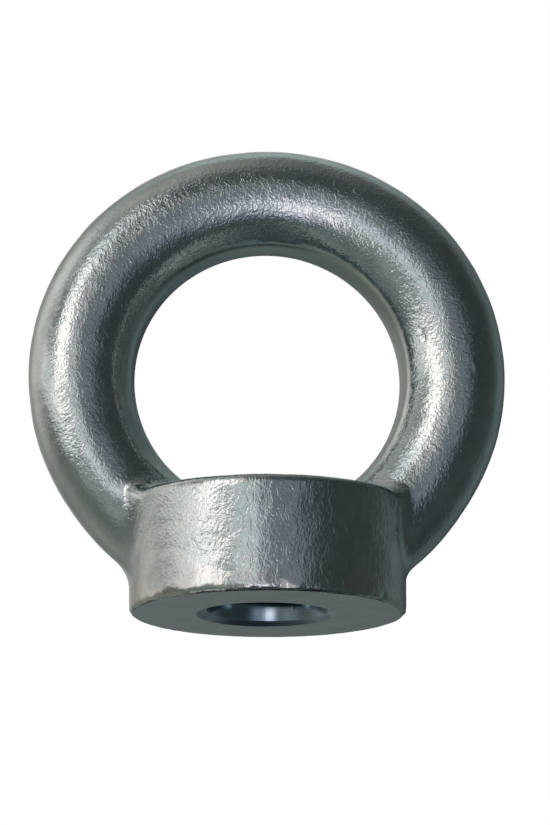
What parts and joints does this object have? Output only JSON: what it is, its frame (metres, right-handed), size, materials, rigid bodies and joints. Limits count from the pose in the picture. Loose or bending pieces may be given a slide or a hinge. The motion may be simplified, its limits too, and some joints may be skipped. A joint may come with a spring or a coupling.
{
  "type": "lifting eye nut",
  "caption": "Drop-forged lifting eye nut: a round lifting ring standing on a short cylindrical collar with a threaded hole in its seat.",
  "frame": {"origin": "middle of the collar's flat machined seat, on the thread's axis", "axes": "+Z along the thread's axis, from the seat up to the ring; +Y along the eye's axis, through the ring; +X across the ring"},
  "size_m": [0.0896, 0.0512, 0.0895],
  "materials": {
    "forged_steel": "zinc plated over a blasted forging, satin"
  },
  "bodies": {
    "root": {"eye_nut": "forged_steel"}
  },
  "joints": []
}
